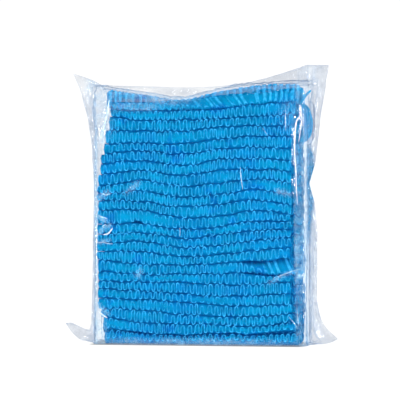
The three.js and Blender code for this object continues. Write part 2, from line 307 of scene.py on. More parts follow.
def white_floor(make, place):
    """Plain white, which to the camera is just white, so that clear film shows on it, but for a painted
    contact shadow that dims it near the bag.
    """
    shader = make("BsdfPrincipled", {
        "Base Color": mix_colour(make, noise(make, place, 6.0), grey(0.93), grey(0.95)),
        "Roughness": 0.9,
        "Specular IOR Level": 0.1,
        "Emission Color": grey(1),
        # Painted shadow: the floor's glow, which lights the bag from below, is dimmer near the bag.
        "Emission Strength": painted_contact_shadow(make, place, 30 * MM, 0.35, 0.62),
    })
    mirrored = make("Emission", {"Strength": brighter_behind(make, place, -0.1, 0.15)})
    # Painted contact shadow: to the camera the floor is dim in a thin band along the bag's foot.
    glow = make("Emission", {"Strength": painted_contact_shadow(make, place, 7 * MM, 0.25, 0.97)})
    seen = make("AddShader", {0: make("BsdfDiffuse", {"Color": grey(0.10)}), 1: glow})
    return by_ray(make, shader, mirrored, seen)


def white_world(make, way):
    """White all round, dim where glossy film in front of the bag mirrors it."""
    strengths = (0.42, brighter_behind(make, way, -0.6, 0.1), 1.05)
    shaders = [make("Background", {"Color": grey(1), "Strength": value}) for value in strengths]
    return by_ray(make, *shaders)


# ---- meshes


def volume(points, quads):
    """The volume of a closed mesh of quads, negative where its faces look inward."""
    a, b, c, d = (points[quads[:, i]] for i in range(4))
    return float(np.einsum("ij,ij->i", a, np.cross(b, c) + np.cross(c, d)).sum()) / 6


def build_mesh(name, parts, material):
    """One object from parts of (points, quads, {attribute: values}), smooth shaded."""
    points, quads, values = zip(*parts)
    starts = np.cumsum([0] + [len(part) for part in points])
    faces = [(q[:, ::-1] if volume(p, q) < 0 else q) + start for p, q, start in zip(points, quads, starts)]
    mesh = bpy.data.meshes.new(name)
    mesh.from_pydata(np.concatenate(points), [], np.concatenate(faces), shade_flat=False)
    mesh.validate()
    for key in ("edge", "deep", "haze", "frost"):
        layer = mesh.attributes.new(key, "FLOAT", "POINT")
        each = [value.get(key, np.zeros(len(part))) for part, value in zip(points, values)]
        layer.data.foreach_set("value", np.concatenate(each).astype(np.float32))
    mesh.materials.append(material)
    return add_object(name, mesh)


def tube(points, **values):
    """A closed tube from its lines of points, one for each point of its ring, with both ends fanned shut."""
    around, sections = len(points), len(points[0])
    ring = np.arange(around)
    after = (ring + 1) % around
    base = np.arange(sections - 1)[:, None] * around
    sides = np.stack([base + ring, base + after, base + around + after, base + around + ring], -1)
    i = np.arange(around // 2 - 1)
    strip = np.stack([i, i + 1, around - 2 - i, around - 1 - i], -1)
    quads = np.concatenate([sides.reshape(-1, 4), strip, strip[:, ::-1] + (sections - 1) * around])
    values = {key: np.stack(value, 1).ravel() for key, value in values.items()}
    return np.stack(points, 1).reshape(-1, 3), quads, values


def lerp(a, b, t):
    return a + (b - a) * t


def ramp(value, length=1.0):
    """0 up to a value of 0, 1 from `length` on, and straight between."""
    return np.clip(value / length, 0, 1)


def ease(t):
    return t * t * (3 - 2 * t)


def eased(values, places):
    """The values at fractional places among them, easing from each to the next."""
    i = np.clip(places.astype(int), 0, len(values) - 2)
    t = ease(places - i).reshape((-1,) + (1,) * (values.ndim - 1))
    return values[i] * (1 - t) + values[i + 1] * t


def seeded(*numbers):
    return np.random.default_rng([SEED, *numbers])


def smooth_noise(rng, places, step):
    """Values about -1 to 1 that change smoothly over `step` along `places`."""
    low, high = places.min() - step, places.max() + step
    knots = np.arange(low, high + 2 * step, step)
    return eased(rng.uniform(-1, 1, len(knots)), (places - low) / step)


def curve_through(places, values):
    """A smooth function through the values, straight beyond both ends."""
    slopes = np.gradient(values, places)

    def at(x):
        x = np.asarray(x, float)
        i = np.clip(np.searchsorted(places, x) - 1, 0, len(places) - 2)
        h = places[i + 1] - places[i]
        t = (x - places[i]) / h
        inner = np.clip(t, 0, 1)
        a, b = values[i], values[i + 1]
        p, q = slopes[i] * h, slopes[i + 1] * h
        u2, u3 = inner ** 2, inner ** 3
        y = (2 * u3 - 3 * u2 + 1) * a + (u3 - 2 * u2 + inner) * p + (3 * u2 - 2 * u3) * b + (u3 - u2) * q
        return y + np.where(t < 0, t * p, 0) + np.where(t > 1, (t - 1) * q, 0)

    return at


def columns_of(table):
    """The columns of a table in millimetres, in metres."""
    return [np.array(column, float) * MM for column in zip(*table)]


def path_through(path, share):
    """The coordinates at shares of the way along a smooth curve through a path's points."""
    knots = np.linspace(0, 1, len(path))
    return [curve_through(knots, column)(share) for column in columns_of(path)]


# ---- folded caps


class Room:
    """The room that a CAD cap gives its folded band: its ends and faces, and its lines over x."""

    def __init__(self, name):
        points = np.array([vertex.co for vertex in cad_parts[name].data.vertices], float)
        self.left, self.front, _ = points.min(0)
        self.right, self.back, _ = points.max(0)
        places = np.unique(points[:, 0].round(5))
        inside = places[(places > self.left + 2 * MM) & (places < self.right - 2 * MM)]
        crests = inside[1::2]
        near = [points[np.abs(points[:, 0] - x) < 0.02 * MM] for x in crests]
        self.low = curve_through(crests, np.array([p[:, 2].min() for p in near]))
        self.high = curve_through(crests, np.array([p[:, 2].max() for p in near]))

    def share(self, row, column):
        """One of the rows and columns that share this room, as a room of its own."""
        part = copy.copy(self)
        middle = (self.front + self.back) / 2
        if column:
            part.front = middle + COLUMN_GAP
        else:
            part.back = middle - COLUMN_GAP
        part.low = functools.partial(self.share_of_way, row)
        part.high = functools.partial(self.share_of_way, row + 1)
        return part

    def share_of_way(self, number, x):
        low = self.low(x)
        return low + (self.high(x) - low) * number / ROWS_IN_BLOCK

    def bend(self, line, change, *limits):
        """Changes the low or high line by a function of the line, limits and x."""
        setattr(self, line, functools.partial(change, getattr(self, line), *limits))

    def set_ends(self, ends, rng, vary):
        """Sets the two ends from a table, up to `vary` millimetres short of it."""
        level, lefts, rights = columns_of(ends)
        middle = float(self.low(0.0) + self.high(0.0)) / 2
        self.left = np.interp(middle, level, lefts) + rng.uniform(0, 1) * vary * MM
        self.right = np.interp(middle, level, rights) - rng.uniform(0, 1) * vary * MM


def between(x, low, high):
    """0 before low, 1 after high and smooth between, for x in metres and limits in millimetres."""
    return ease(ramp(x / MM - low, high - low))


def wobbled(line, number, x):
    """A line between two rows, with the small sway that the cloth gives it."""
    x = np.asarray(x, float)
    places = np.linspace(-0.13, 0.13, 261)
    rng = seeded(600 + number)
    sway = 0.75 * MM * smooth_noise(rng, places, 0.013) + 0.4 * MM * smooth_noise(rng, places, 0.0055)
    return line(x) + np.interp(x, places, sway)


def shifted(line, first, last, rise, x):
    """The line, raised by `rise` millimetres from where x passes first to last."""
    return line(x) + rise * MM * between(x, first, last)


def arched(line, x):
    """The line under row 13, which lifts off row 12 in one place."""
    return line(x) + 2.3 * MM * np.exp(-(((x / MM + 61) / 5.0) ** 2))


def none(x):
    return np.zeros_like(x)


def upright(x):
    return np.full_like(x, 90)


class Band:
    """A folded cap: one crimped band that winds up and down along x, and the cloth packed in its folds.

    In the band's own section, a runs from its lower to its upper flank and b from front to back, both
    from -1 to 1. roll turns the section about x, in degrees, front edge down where it is negative.
    shear leans the pleats along x from front to back.
    """

    def __init__(self, room, seed, roll=none, shear=none):
        self.room, self.roll, self.shear = room, roll, shear
        self.rng = seeded(seed)
        self.turns, self.heights = self.turning_points()

    def turning_points(self):
        """Where the band turns along x, and how high it is there, from -1 to 1."""
        rng = self.rng
        pitch = PLEAT_PITCH * rng.uniform(0.9, 1.1)
        left, right = self.room.left + SIDE_ROUND, self.room.right - SIDE_ROUND
        count = int(round(2 * (right - left) / pitch))
        share = np.linspace(0, 1, count)
        widths = 1 + 0.30 * smooth_noise(rng, share, 0.05) + 0.24 * rng.uniform(-1, 1, count)
        places = np.concatenate([[0], np.cumsum(widths)])
        places = left + (right - left) * places / places[-1]
        side = np.where(np.arange(count + 1) % 2 == rng.integers(2), 1.0, -1.0)
        lean = 1.3 * MM * smooth_noise(rng, places, 0.017) * side
        lean[[0, -1]] = 0
        heights = side * (1 - 0.06 * rng.random(count + 1) - 0.32 * rng.random(count + 1) ** 3)
        heights[[0, -1]] *= 0.2
        places = np.maximum.accumulate(places + lean + 1e-5 * np.arange(count + 1))
        return np.clip(places, left, right), heights

    def reach(self, side, other):
        """Lets the crests on one side reach further where they face a gap between the other crests."""
        mine = self.heights * side > 0.5
        places = self.turns[mine]
        gap = np.abs(places[:, None] - other[None, :]).min(1) / (PLEAT_PITCH / 2)
        more = lerp(*REACH, ramp(gap)) * MM
        self.heights[mine] += side * self.lying(places) * more / (self.size(places)[0] / 2)

    def fit(self, x):
        """The cosine and sine of the section's turn, and how it is scaled up and back to fill the room."""
        room = self.room
        height, depth = room.high(x) - room.low(x), room.back - room.front
        turn = np.radians(self.roll(x))
        cosine, sine = np.cos(turn), np.sin(turn)
        tall = BAND_TALL * np.abs(cosine) + BAND_WIDE * np.abs(sine)
        deep = BAND_WIDE * np.abs(cosine) + BAND_TALL * np.abs(sine)
        return cosine, sine, height / tall, depth / deep

    def lying(self, x):
        """1 where the band lies flat, and 0 where it stands on its edge."""
        return np.abs(self.fit(x)[0]) ** 3

    def size(self, x):
        """The room the band has from flank to flank, and from its front to its back edge."""
        cosine, sine, up, deep = self.fit(x)
        return BAND_TALL * np.hypot(cosine * up, sine * deep), BAND_WIDE * np.hypot(sine * up, cosine * deep)

    def place(self, x, a, b):
        """Points of the section in the row frame."""
        room = self.room
        cosine, sine, up, deep = self.fit(x)
        a, b = a * BAND_TALL / 2, b * BAND_WIDE / 2
        y = (room.front + room.back) / 2 + (b * cosine + a * sine) * deep
        z = (room.low(x) + room.high(x)) / 2 + (a * cosine - b * sine) * up
        return np.stack([x + self.shear(x) * b * 2 / BAND_WIDE, y, z], -1)

    def path(self, samples):
        """The winding line: x, and height from -1 to 1."""
        rng = self.rng
        x0, x1 = self.turns[:-1, None], self.turns[1:, None]
        h0, h1 = self.heights[:-1, None], self.heights[1:, None]
        count = len(x0)
        share = np.linspace(0, 1, count)
        fullness = 1.05 + 0.35 * smooth_noise(rng, share, 0.06) + 0.25 * rng.uniform(-1, 1, count)
        square = 0.02 + 0.16 * smooth_noise(rng, share, 0.1)
        s = np.arange(samples) / samples
        along = s + fullness[:, None] / (math.tau) * np.sin(math.tau * s)
        rise = s - square[:, None] / (math.tau) * np.sin(math.tau * s)
        x = lerp(x0, x1, along).ravel()
        h = lerp(h0, h1, 0.5 - 0.5 * np.cos(math.pi * rise)).ravel()
        return np.append(x, self.turns[-1]), np.append(h, self.heights[-1])

    def ribbon(self, samples, depth_steps=1):
        """The crimped band itself, with a rounded front edge that wanders in and out."""
        x, h = self.path(samples)
        tall, wide = self.size(x)
        a = h * (1 - (BAND_THICKNESS - TOUCH) / tall)
        flat = np.stack([x, a * tall / 2], -1)
        along = np.gradient(flat, axis=0)
        along /= np.linalg.norm(along, axis=1, keepdims=True)
        out = np.stack([-along[:, 1], along[:, 0]], -1) * (BAND_THICKNESS / 2)
        wander = 0.8 * MM * smooth_noise(self.rng, x, 0.035) + 0.55 * MM * smooth_noise(self.rng, x, 0.0035)
        front = wander + 0.85 * MM + 0.9 * MM * np.abs(h) ** 3
        # Round the section: which side and how far out, how far behind the front, or which share back.
        edge_round = [(1.0, 1.6 * MM), (1.0, 0.55 * MM), (0.62, 0.12 * MM)]
        steps = [k / depth_steps for k in range(1, depth_steps + 1)]
        ring = [(-n, v, None) for n, v in edge_round] + [(n, v, None) for n, v in reversed(edge_round)]
        ring += [(1.0, None, k) for k in steps] + [(-1.0, None, k) for k in reversed(steps)]
        # The edge attribute sets the pale edge colour, partly the cloth's fuzz and partly a painted
        # highlight: along the front edge, strongest at the crests, and over the whole flank where the band
        # is turned, as painted light.
        flank = 0.9 * np.abs(self.fit(x)[1]) ** 1.5
        rim = np.maximum(0.35 + 0.65 * np.abs(h) ** 1.5, flank)
        points, edge = [], []
        for n, behind, share in ring:
            off = out * n
            if share is None:
                b = -1 + 2 * (front + behind) / wide
            else:
                b = np.maximum(-1 + 2 * share, -1 + 2 * (front + 2.2 * MM) / wide)
            points.append(self.place(x + off[:, 0], (flat[:, 1] + off[:, 1]) * 2 / tall, b))
            edge.append(rim if share is None and behind < 1.0 * MM else flank)
        return tube(points, edge=edge)

    def core(self, halfway=True):
        """The cloth packed between the folds: lobes that stand back behind the band's front edge."""
        turns, heights = self.turns, self.heights
        x = np.sort(np.concatenate([turns, (turns[1:] + turns[:-1]) / 2])) if halfway else turns.copy()
        h = np.interp(x, turns, heights)
        x[0] += 0.5 * MM
        x[-1] -= 0.5 * MM
        tall, wide = self.size(x)
        over = 1 - 2 * (0.45 * MM + 0.85 * MM * (1 - h)) / tall
        under = -1 + 2 * (0.45 * MM + 0.85 * MM * (1 + h)) / tall
        middle, half = (over + under) / 2, (over - under) / 2
        face = 1.7 * MM - 0.35 * MM * np.abs(h) + 0.3 * MM * smooth_noise(self.rng, x, 0.01)
        back = 1 - 2 * 0.8 * MM / wide
        lying = self.lying(x)
        # Round the section: kind of point, share of the half height, millimetres behind the face, and
        # how deep in the folds it is, which sets the painted shade there.
        ring = [
            ("full", -1, 2.9, 0.6), ("lobe", -1, 2.2, 0.25), ("lobe", -0.72, 0.9, 0), ("lobe", -0.3, 0, 0),
            ("lobe", 0.3, 0, 0), ("lobe", 0.72, 0.9, 0), ("lobe", 1, 2.2, 0.25), ("full", 1, 2.9, 0.6),
            ("back", 1, 0, 0.25), ("back", -1, 0, 0.25),
        ]
        points, deep = [], []
        for kind, share, behind, depth in ring:
            b = back if kind == "back" else -1 + 2 * (face + behind * MM) / wide
            a = middle + half * share
            if kind != "lobe":
                a = lerp(a, 0.99 * share, lying)
            points.append(self.place(x, a, b))
            # Painted shade in the folds, where the band lies flat.
            deep.append(lying * depth)
        return tube(points, deep=deep)


def interlock(bands):
    """Fits the crests of neighbouring bands, lowest first, into each other's gaps."""
    for lower, upper in zip(bands, bands[1:]):
        tops = lower.turns[lower.heights > 0.5]
        bottoms = upper.turns[upper.heights < -0.5]
        lower.reach(1, bottoms)
        upper.reach(-1, tops)


def make_cap(node, parts, fabric):
    piece = build_mesh(f"folded_{node}", parts, fabric)
    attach(piece, "root")
    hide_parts(node)


# The front rows that don't lie flat: the roll and shear of each.
TURNED = {
    1: (lambda x: 24 + 4 * np.sin(x * 40), lambda x: 1.5 * MM * np.sin(x * 25)),
    2: (lambda x: 12 * between(x, 40, 95), none),
    8: (lambda x: -66 * between(x, 40, 80), lambda x: -3.5 * MM * between(x, 45, 80)),
    24: (lambda x: -64 * between(x, -45, 20),
         lambda x: -5 * MM * between(x, -50, -20) * (1 - between(x, 35, 80))),
}


def front_room(row):
    """The room of one front row, with its lines and ends as they show."""
    room = Room(f"cap_front_{row:02d}")
    room.set_ends(FRONT_ENDS, seeded(50, row), 2.0)
    if row > ROWS[0]:
        room.bend("low", wobbled, row - 1)
    if row < ROWS[-1]:
        room.bend("high", wobbled, row)
    for number, line, *bend in BENT_LINES:
        if number == row:
            room.bend(line, shifted, *bend)
    if row == 13:
        room.bend("low", arched)
    return room


def make_front_caps(fabric):
    bands = [Band(front_room(row), row, *TURNED.get(row, ())) for row in ROWS]
    interlock(bands)
    for row, band in zip(ROWS, bands):
        parts = [band.ribbon(6, 2 if row in DETAILED_ROWS else 1), band.core()]
        for points, _, _ in parts:
            points[:, 2] = np.maximum(points[:, 2], 0.8 * MM)
        make_cap(f"cap_front_{row:02d}", parts, fabric)


def stacked_bands(rooms, seed):
    """Bands in rooms that lie on each other, lowest first."""
    rng = seeded(51, seed)
    for room in rooms:
        room.set_ends(INNER_ENDS, rng, 3.0)
    for number, (lower, upper) in enumerate(zip(rooms, rooms[1:]), seed):
        lower.bend("high", wobbled, number)
        upper.bend("low", wobbled, number)
    bands = [Band(room, number) for number, room in enumerate(rooms, seed)]
    interlock(bands)
    return bands


def make_back_caps(fabric):
    nodes = [f"cap_back_{row:02d}" for row in ROWS]
    for node, band in zip(nodes, stacked_bands([Room(node) for node in nodes], 100)):
        parts = [band.ribbon(4), band.core(False)]
        for points, _, _ in parts:
            points[:, 1] = band.room.front + band.room.back - points[:, 1]
        make_cap(node, parts, fabric)


def make_inner_caps(fabric):
    blocks = {f"inner_caps_{number}": Room(f"inner_caps_{number}") for number in range(1, 5)}
    parts = {node: [] for node in blocks}
    owners = [node for node in blocks for _ in range(ROWS_IN_BLOCK)]
    for column in range(2):
        rooms = [block.share(row, column) for block in blocks.values() for row in range(ROWS_IN_BLOCK)]
        for node, band in zip(owners, stacked_bands(rooms, 200 + 50 * column)):
            parts[node] += [band.ribbon(3), band.core(False)]
    for node, its_parts in parts.items():
        make_cap(node, its_parts, fabric)


def tongue(path, width, thickness, turn, folds):
    """A flat end of band with lengthways folds along a path, its width turned about z from x."""
    around = 32
    share = np.linspace(0, 1, 41)
    line = np.stack(path_through(path, share), -1)
    across = np.array([math.cos(turn), math.sin(turn), 0.0])
    out = np.array([math.sin(turn), -math.cos(turn), 0.0])
    round_off = np.sqrt(np.clip(1 - (2 * share - 1) ** 6, 0.02, 1))
    angle = math.tau * np.arange(around)[:, None] / around
    side, rise = np.cos(angle), np.sin(angle)
    swell = np.copysign(np.abs(rise) ** 0.7, rise)
    fold = folds * np.sin(side * 9 + 2.5 * share + 1.3 * np.sin(share * 7)) * np.abs(rise)
    aside = (width / 2 * side * round_off)[..., None] * across
    points = line + aside + (thickness / 2 * swell * round_off + fold)[..., None] * out
    # Painted highlight: paler along the folds that stand out.
    return tube(points, edge=np.clip(fold / folds, -1, 1) * 0.4 + 0.3)


def make_top_caps(fabric):
    for number, left in enumerate(STANDING_LEFT, 1):
        room = Room(f"cap_top_{number}")
        for corner in CORNERS:
            room.bend("high", shifted, *corner)
        room.left = left * MM
        band = Band(room, 400 + number, upright)
        parts = [band.ribbon(6, 3), band.core()]
        if number == 1:
            parts.append(tongue(HANGING_END, 10.5 * MM, 5 * MM, 0.35, 0.7 * MM))
            parts.append(tongue(UPRIGHT_END, 3.4 * MM, 1.6 * MM, 0.3, 0.15 * MM))
        make_cap(f"cap_top_{number}", parts, fabric)


# ---- film bag

# The film's route, as in part.mjs, from the middle of the stack. A row is its distance out of the weld's
# plane (0 to 1), its height on the face, where the side welds run, and how sharply it bends up to them.
# The rows above them follow the caps: the edge of the stack, its crown or the top weld.
STACK_MIDDLE = 3.0
BAG_FACE = 33.875
WELD_OUT = 1.15
TOP_CLEARANCE = 1.5
WALL_ROWS = [
    (0, 0, -148, 20, 142, 6, 4), (0.46, 0, -141, 20.5, 138, 10, 2.5), (0.97, 0, -130, 15.5, 132, 15, 1.5),
    (1, 1.2, -122, 11.5, 126, 22, 1.5), (1, 9, -120, 21, 122.5, 35, 1.5), (1, 42, -119, 44, 120.5, 48, 1),
    (1, 82, -118.5, 82, 120.5, 82, 1), (1, 118, -118, 118, 121, 118, 1), (1, 148, -117.5, 148, 118, 148, 1),
    (1, 168, -117, 168, 112.5, 168, 1), (1, 190, -118.5, 190, 119, 190, 1),
    (1, 216, -120.5, 216, 122, 216, 1), (1, 236, -123.5, 238, 124.5, 238, 1),
]
SHOULDER_ROWS = [
    (1, "edge", -8, -126.5, 250, 126.5, 250, 1),
    (1, "edge", -1.4, -129, 258, 128, 259, 1),
    (0.95, "edge", 0, -131, 264, 129.5, 267, 1),
    (0.54, "crown", 0, -133.5, 271, 130, 275, 1),
    (0.06, "crown", 1, -136.5, 279, 131.5, 283, 1),
    (0, "seam", 0, -139.5, 286.5, 133, 291.5, 0.7),
]
TOP_SEAM = ([-95, -57, -19, 19, 57, 95], [273.5, 272, 270.5, 271.5, 276.5, 288])
# Across the wall, from a side weld to the middle: out of the weld's plane, place on the face, share
# of the way to the weld.
WALL_COLUMNS = [
    (0, 110, 1), (0.015, 110, 0.82), (0.09, 110, 0.6), (0.3, 110, 0.33), (0.62, 110, 0.12),
    (0.9, 109.8, 0.02), (0.99, 108.4, 0), (1, 104, 0), (1, 97, 0), (1, 84, 0), (1, 67, 0),
    (1, 50, 0), (1, 33, 0), (1, 16.5, 0),
]
# The share of the film's columns and rows that goes to each millimetre of it: (places, weights).
ACROSS_WEIGHT = ([-150, -100, -92, 92, 100, 150], [2.1, 2.1, 1, 1, 2.1, 2.1])
UP_WEIGHT = ([-40, 215, 235, 300], [1, 1, 1.9, 1.9])
COARSE = (128, 124)
FINE = (206, 196)
FILM_WALL = 0.25 * MM
RELAX_STEPS, QUICK_STEPS = 160, 25
# The springs of the film: rows and columns between their ends, and stiffness. Those that join points
# two apart only push, and hold the film's folds open.
SPRINGS = [(0, 1, 1.0), (1, 0, 1.0), (1, 1, 0.35), (1, -1, 0.35), (0, 2, 0.2), (2, 0, 0.2)]
LONG_SPRING = 0.93
STAY = 0.004

# What the film lies on: boxes with round edges, low and high corner and radius. The back film has the
# front rows' boxes too, mirrored, and then its own.
FRONT_BLOCKS = [
    ((-106.6, -33.0, 30), (101.4, -12, 195), 4),
    ((-98.5, -32.6, 0.8), (101.8, -12, 40), 4),
    ((-98.5, -31.6, 0.8), (108.5, -12, 19), 4),
    ((-102.5, -33.0, 180), (102.5, -12, 214), 4),
    ((-92.5, -33.0, 205), (107, -12, 251.5), 4),
]
INNER_BLOCKS = [
    ((-105, -18, 0.8), (112, 32.9, 200), 4),
    ((-100, -18, 190), (111, 32.9, 251.5), 4),
    ((-101.5, -16.5, 225), (110.4, 28.5, 257), 3.5),
    ((104, -19, 209), (121, -6.5, 252), 5),
]
BACK_BLOCKS = [((a, -e, c), (d, -b, f), radius) for (a, b, c), (d, e, f), radius in FRONT_BLOCKS]
BACK_BLOCKS.append(((-104.5, -20, 0.8), (110.4, 32.9, 251.5), 4))
# Where the crown of the stack carries the film: low and high corner.
CROWN = ((-103, -16, 240), (110, 28.5, math.inf))

# Soft creases of the film: x and z where they start and end, half width and height.
FRONT_CREASES = [
    (93.6, 243, 93.2, 223, 1.9, 1.4), (48.5, 184, 51, 161, 2.6, 2.2), (-62, 81, -58, 68, 1.7, 1.0),
    (-66, 76, -53, 72, 1.6, 0.8), (-57, 82, -62, 70, 1.5, 0.8), (76, 65, 92, 75, 2.0, 1.5),
    (92, 75, 110, 83, 2.2, 1.8), (80, 62, 108, 76, 1.5, 0.8), (103, 68, 110, 72, 2.6, 2.2),
    (-76, 156, -57, 170, 2.4, 1.6), (-82, 152, -68, 158, 2.0, 1.0), (83, 160, 99, 155, 2.2, 1.5),
    (20, 126, 21, 116, 1.3, 0.6), (-106, 153, -90, 159, 2.2, 1.8), (-108, 136, -93, 128, 2.4, 2.2),
    (-104, 118, -88, 126, 2.4, 2.2), (-106, 105, -92, 109, 1.8, 1.5), (-104, 62, -96, 68, 1.8, 1.3),
    (-107, 45, -92, 30, 2.6, 2.4), (-100, 200, -92, 196, 1.8, 1.2), (-103, 183, -96, 178, 1.8, 1.2),
    (-91, 257, -95, 233, 2.4, 2.4), (-95, 233, -102, 207, 2.4, 2.4), (-88, 246, -40, 246.5, 2.2, 1.2),
    (107.5, 251, 107, 239, 1.8, 1.4), (106.8, 242, 101.4, 229, 1.9, 1.6),
    (101.4, 234, 101.2, 202, 2.0, 1.5), (107, 241, 107.8, 225, 1.7, 1.3), (107.8, 229, 104, 211, 1.7, 1.3),
    (101.2, 208, 100.6, 175, 2.0, 1.5), (100.6, 181, 102.6, 147, 1.9, 1.5),
]
# Places on the film: middle (x, z), half length and width, angle in degrees and strength.
CALM_TOP = (-70, 262, 34, 9, 0, 0.6)
CRUMPLED_CORNERS = ((-106, 240, 30, 13, 90, 1.0), (-108, 18, 22, 12, 90, 0.7))
CLEAR_EAR = (-130, 272, 17, 14, 0, 0.6)
HAZY_PLACES = ((-104, 240, 30, 8, 92, 0.7), (-24, 264, 30, 9, 0, 0.8))
# Whitened marks on the front film, partly crumpled film and partly painted highlights where its creases
# catch the light.
FRONT_FROST_AND_GLINTS = [
    (-104, 243, 26, 10, 96, 0.32), (-95, 233, 24, 2.0, 80, 0.6), (-62, 248, 26, 3.6, 0, 0.30),
    (-68, 258, 28, 5.5, -3, 0.16), (-24, 263, 24, 8, 0, 0.85), (-34, 255, 16, 5, 0, 0.40),
    (-67, 163, 10, 2.4, 37, 0.3), (-72, 159, 5, 2.0, 20, 0.2), (-97, 156, 8, 2.5, 25, 0.35),
    (-99, 131, 8, 2.0, -28, 0.5), (-96, 121, 8, 2.2, 30, 0.5), (-98, 107, 8, 1.6, 12, 0.4),
    (-98, 37, 9, 2.2, -42, 0.5), (-100, 15, 15, 6, 105, 0.35), (91, 158, 8, 2.3, -15, 0.35),
    (92, 73, 17, 1.8, 26, 0.3), (106.5, 72.5, 3.4, 1.8, 20, 0.9), (99, 236, 16, 9, 90, 0.10),
    (-59, 75, 5, 3.0, 60, 0.35), (0, 3.5, 112, 3.2, 0, 0.3),
]
# How much the film whitens down its right side, partly crumpled film and partly painted highlight: heights
# and strengths.
SIDE_FROST_AND_HIGHLIGHTS = (
    [0, 60, 100, 130, 150, 172, 190, 205, 215, 245, 262],
    [0.2, 0.2, 0.35, 0.42, 0.3, 0.32, 0.42, 0.32, 0.1, 0.06, 0.2],
)
# How far out the caps' blue is painted on the creased film at the right, as light from the caps behind:
# heights, and distances out.
CAUGHT_BLUE = ([0, 20, 45, 100, 150, 175, 200, 222], [113.5, 113, 112, 113.5, 119, 121, 118, 104])
# Sharp folds that the film is pinched into, painted white along them as glints: half width, how white, and
# their way over its face (x, z).
PINCHED_FOLDS = [
    (0.7, 1, [(109.3, 247), (109.5, 240), (107.5, 235), (104.8, 231), (103.4, 222), (102.9, 210),
              (102.8, 198)]),
    (0.55, 0.95, [(102.8, 201), (103.4, 190), (104.1, 178), (104.3, 166), (104.9, 155), (105.6, 146)]),
    (0.5, 0.95, [(109.6, 240), (110.2, 234), (109.4, 226), (108, 217), (106.8, 210)]),
    (0.45, 0.82, [(93.6, 243), (93.3, 232), (93.7, 222)]),
    (0.45, 0.85, [(46.8, 184), (47.7, 172), (49.3, 161)]),
    (0.4, 0.8, [(-16.3, 122), (-16, 117), (-16.3, 113)]),
    (0.35, 0.75, [(69.5, 224.5), (72, 221), (75.5, 216)]),
    (0.9, 0.95, [(-97, 114.5), (-91.5, 116), (-87, 121.5)]),
    (0.45, 0.85, [(-96, 106.5), (-91, 105.2), (-87, 105)]),
    (0.5, 0.85, [(-103, 135), (-97, 132.5), (-92.5, 131.5)]),
    (0.9, 0.95, [(-102, 36), (-98, 31.5), (-92.5, 28)]),
    (1.2, 0.9, [(-91, 255), (-91.4, 247), (-93.4, 239), (-96.2, 228), (-100, 214)]),
    (0.4, 0.8, [(96, 31), (101, 25.5), (105, 20)]),
    (0.4, 0.8, [(105.4, 38), (105.9, 29), (106.6, 21)]),
    (0.4, 0.8, [(80, 69.5), (95, 75.5), (109, 80)]),
    (0.45, 0.85, [(-100, 158), (-94, 156), (-88, 158)]),
]


@functools.cache
def crown_room():
    return Room("cap_top_1")


def film_controls(side):
    """The control points of one half of the bag, rows bottom to top, columns left to right."""
    columns = np.array(WALL_COLUMNS + [(1, 0, 0)] + WALL_COLUMNS[::-1], float)
    out, across, to_weld = columns.T
    on_left = np.arange(len(columns)) < len(WALL_COLUMNS)
    across = np.where(on_left, -across, across)
    lines = {"crown": crown_room(), "edge": Room("cap_front_24") if side < 0 else crown_room()}
    heights = {
        name: room.high((across + STACK_MIDDLE) * MM) / MM + TOP_CLEARANCE for name, room in lines.items()
    }
    heights["seam"] = curve_through(*np.array(TOP_SEAM, float))(across)
    heights["floor"] = none(across)
    wall = [(row_out, "floor", *row) for row_out, *row in WALL_ROWS]
    grid = []
    for row_out, line, over, left_x, left_z, right_x, right_z, bend in wall + SHOULDER_ROWS:
        x = lerp(across, np.where(on_left, left_x, right_x), to_weld)
        z = lerp(heights[line] + over, np.where(on_left, left_z, right_z), to_weld ** bend)
        y = side * (WELD_OUT + (BAG_FACE - WELD_OUT) * row_out * out)
        grid.append(np.stack([x + STACK_MIDDLE, y, z], -1))
    return np.array(grid) * MM


def resampled(grid, count, axis, coordinate, weight):
    """The grid with `count` lines along an axis, closer together where the weight is higher."""
    grid = np.moveaxis(grid, axis, 0)
    steps = np.median(np.linalg.norm(np.diff(grid, axis=0), axis=-1), axis=1)
    fine = np.linspace(0, len(grid) - 1, 2000)
    place = np.interp(fine, np.arange(len(grid)), np.median(grid[..., coordinate], axis=1)) / MM
    length = np.interp(fine, np.arange(len(grid)), np.concatenate([[0], np.cumsum(steps)]))
    share = np.interp(place, *weight)
    total = np.concatenate([[0], np.cumsum((share[1:] + share[:-1]) / 2 * np.diff(length))])
    wanted = np.interp(np.linspace(0, total[-1], count), total, fine)
    i = np.clip(wanted.astype(int), 0, len(grid) - 2)
    t = (wanted - i)[:, None, None]
    return np.moveaxis(lerp(grid[i], grid[i + 1], t), 0, axis)


def refined(grid, count, axis):
    """The grid with `count` lines along an axis, on smooth curves through the lines it has."""
    grid = np.moveaxis(grid, axis, 0)
    places = np.linspace(0, len(grid) - 1, count)
    i = np.clip(places.astype(int), 0, len(grid) - 2)
    t = (places - i)[:, None, None]
    before, after = grid[np.maximum(i - 1, 0)], grid[np.minimum(i + 2, len(grid) - 1)]
    a, b = grid[i], grid[i + 1]
    cubic = 3 * (a - b) + after - before
    smooth = a + 0.5 * t * (b - before + t * (2 * before - 5 * a + 4 * b - after + t * cubic))
    return np.moveaxis(smooth, 0, axis)


def soft_field(rng, shape, tall, wide):
    """A smooth random field from -1 to 1, its bumps so many rows tall and columns wide."""
    rows, columns = shape
    coarse = rng.uniform(-1, 1, (int(rows / tall) + 3, int(columns / wide) + 3))
    return eased(eased(coarse, np.arange(rows) / tall).T, np.arange(columns) / wide).T


